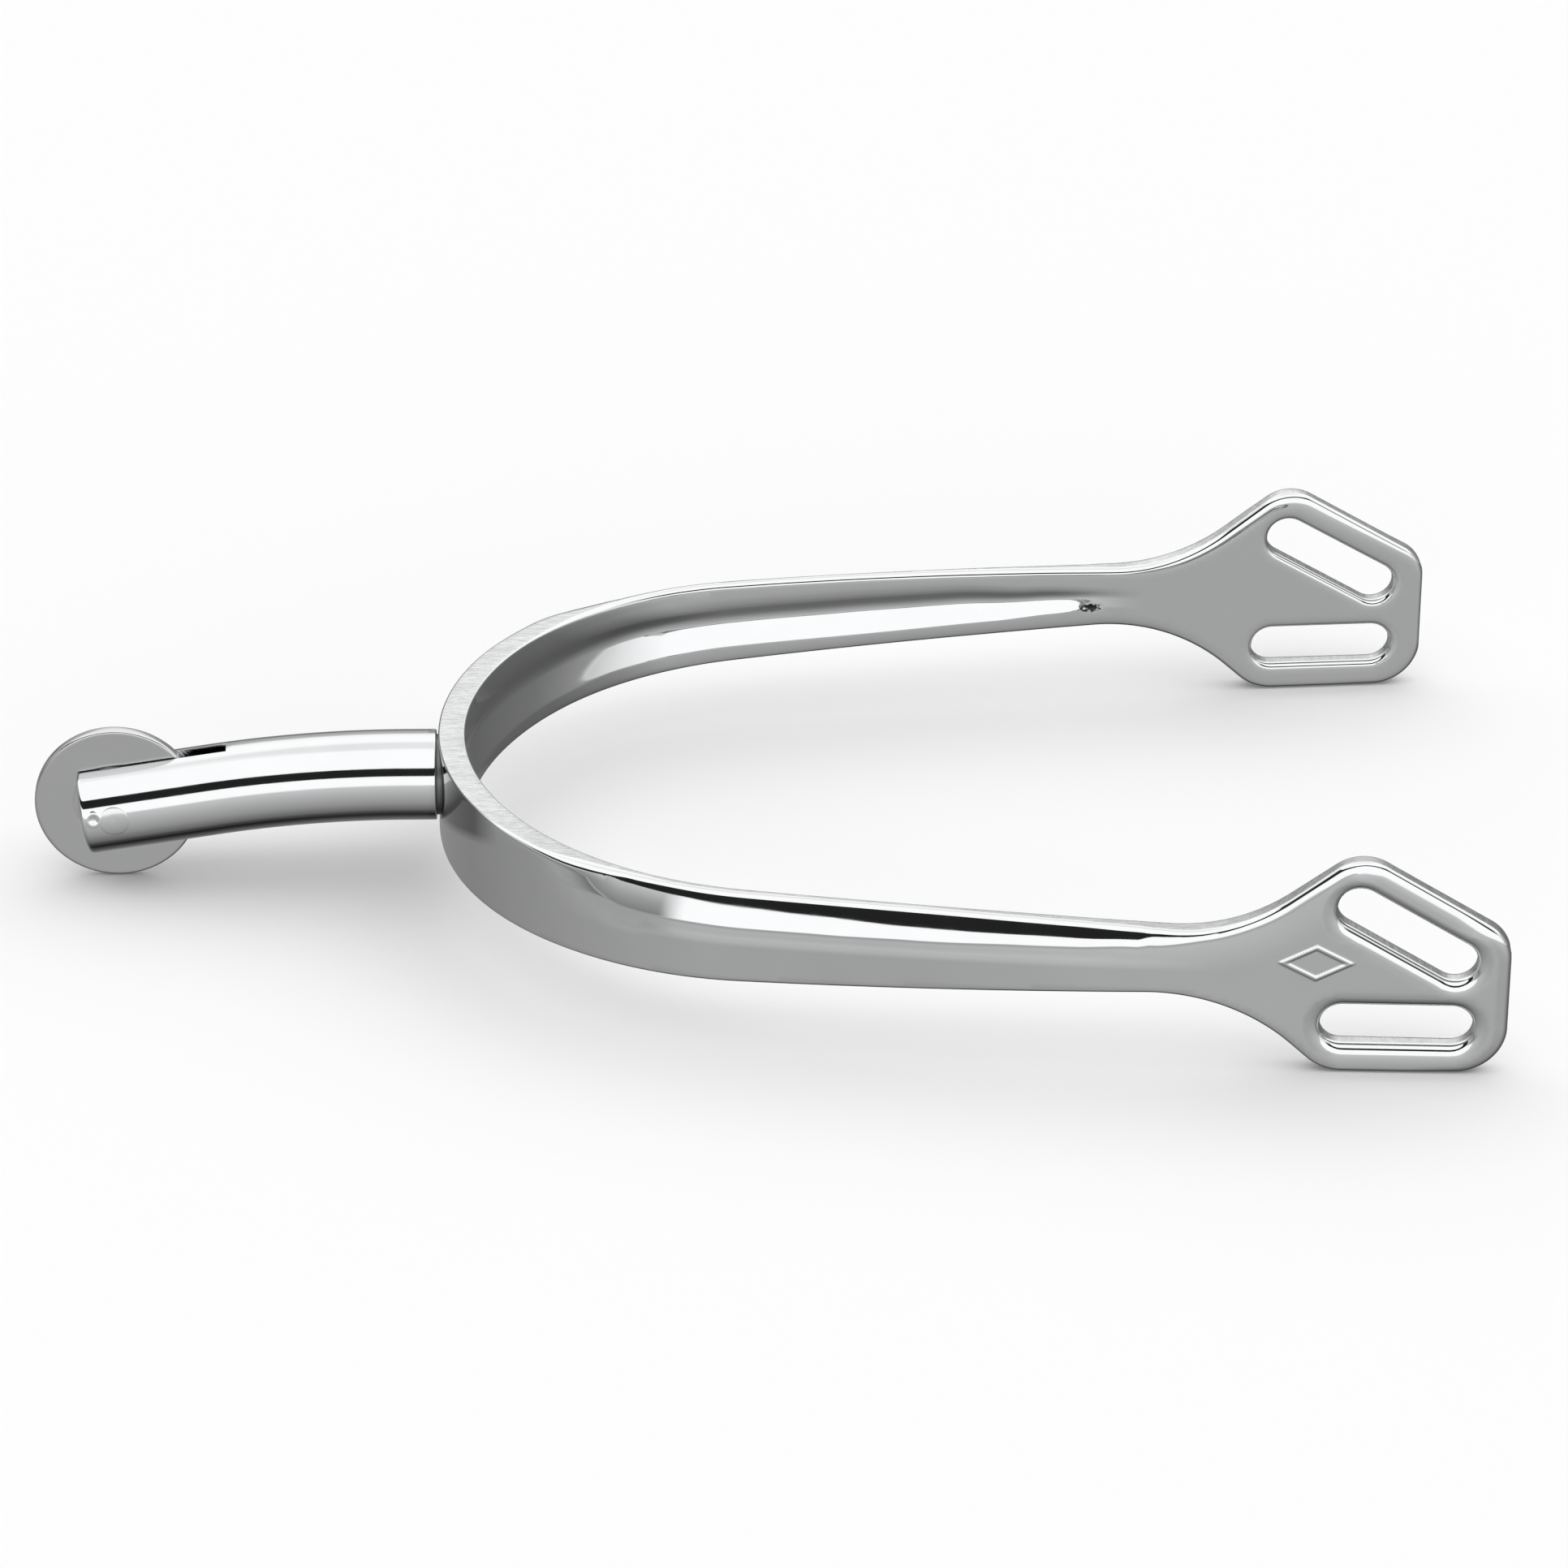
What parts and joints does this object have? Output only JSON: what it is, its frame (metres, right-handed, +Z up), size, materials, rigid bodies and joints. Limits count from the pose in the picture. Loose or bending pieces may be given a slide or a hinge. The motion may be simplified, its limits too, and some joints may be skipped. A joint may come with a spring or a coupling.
{
  "type": "riding spur",
  "caption": "Polished steel riding spur: U-shaped heel band with slotted strap plates, a curved round neck and a smooth rowel disc that turns on a pin.",
  "frame": {"origin": "centre of the bounding box's bottom face: under the middle of the spur, on the plane that the rowel and both plates stand on", "axes": "+X from the rowel to the strap plates, +Y across the heel to the spur's left branch, +Z up"},
  "size_m": [0.1404, 0.0824, 0.0222],
  "materials": {
    "polished_steel": "mirror polished stainless steel, with the band's upper and lower edges ground along the grain",
    "rowel_steel": "polished stainless steel with fine turning marks and a worn ring round the fork",
    "pin_steel": "dressed flush and polished",
    "stud_steel": "plain turned steel"
  },
  "bodies": {
    "spur": {"heel_band": "polished_steel", "neck": "polished_steel", "neck_stud": "stud_steel", "axle_pin": "pin_steel"},
    "rowel": {"rowel_disc": "rowel_steel"}
  },
  "joints": [
    {"name": "rowel_spin", "type": "hinge", "parent": "spur", "child": "rowel", "pos_m": [-0.06216, 0, 0.008], "axis": [0, 1, 0], "continuous": true}
  ]
}
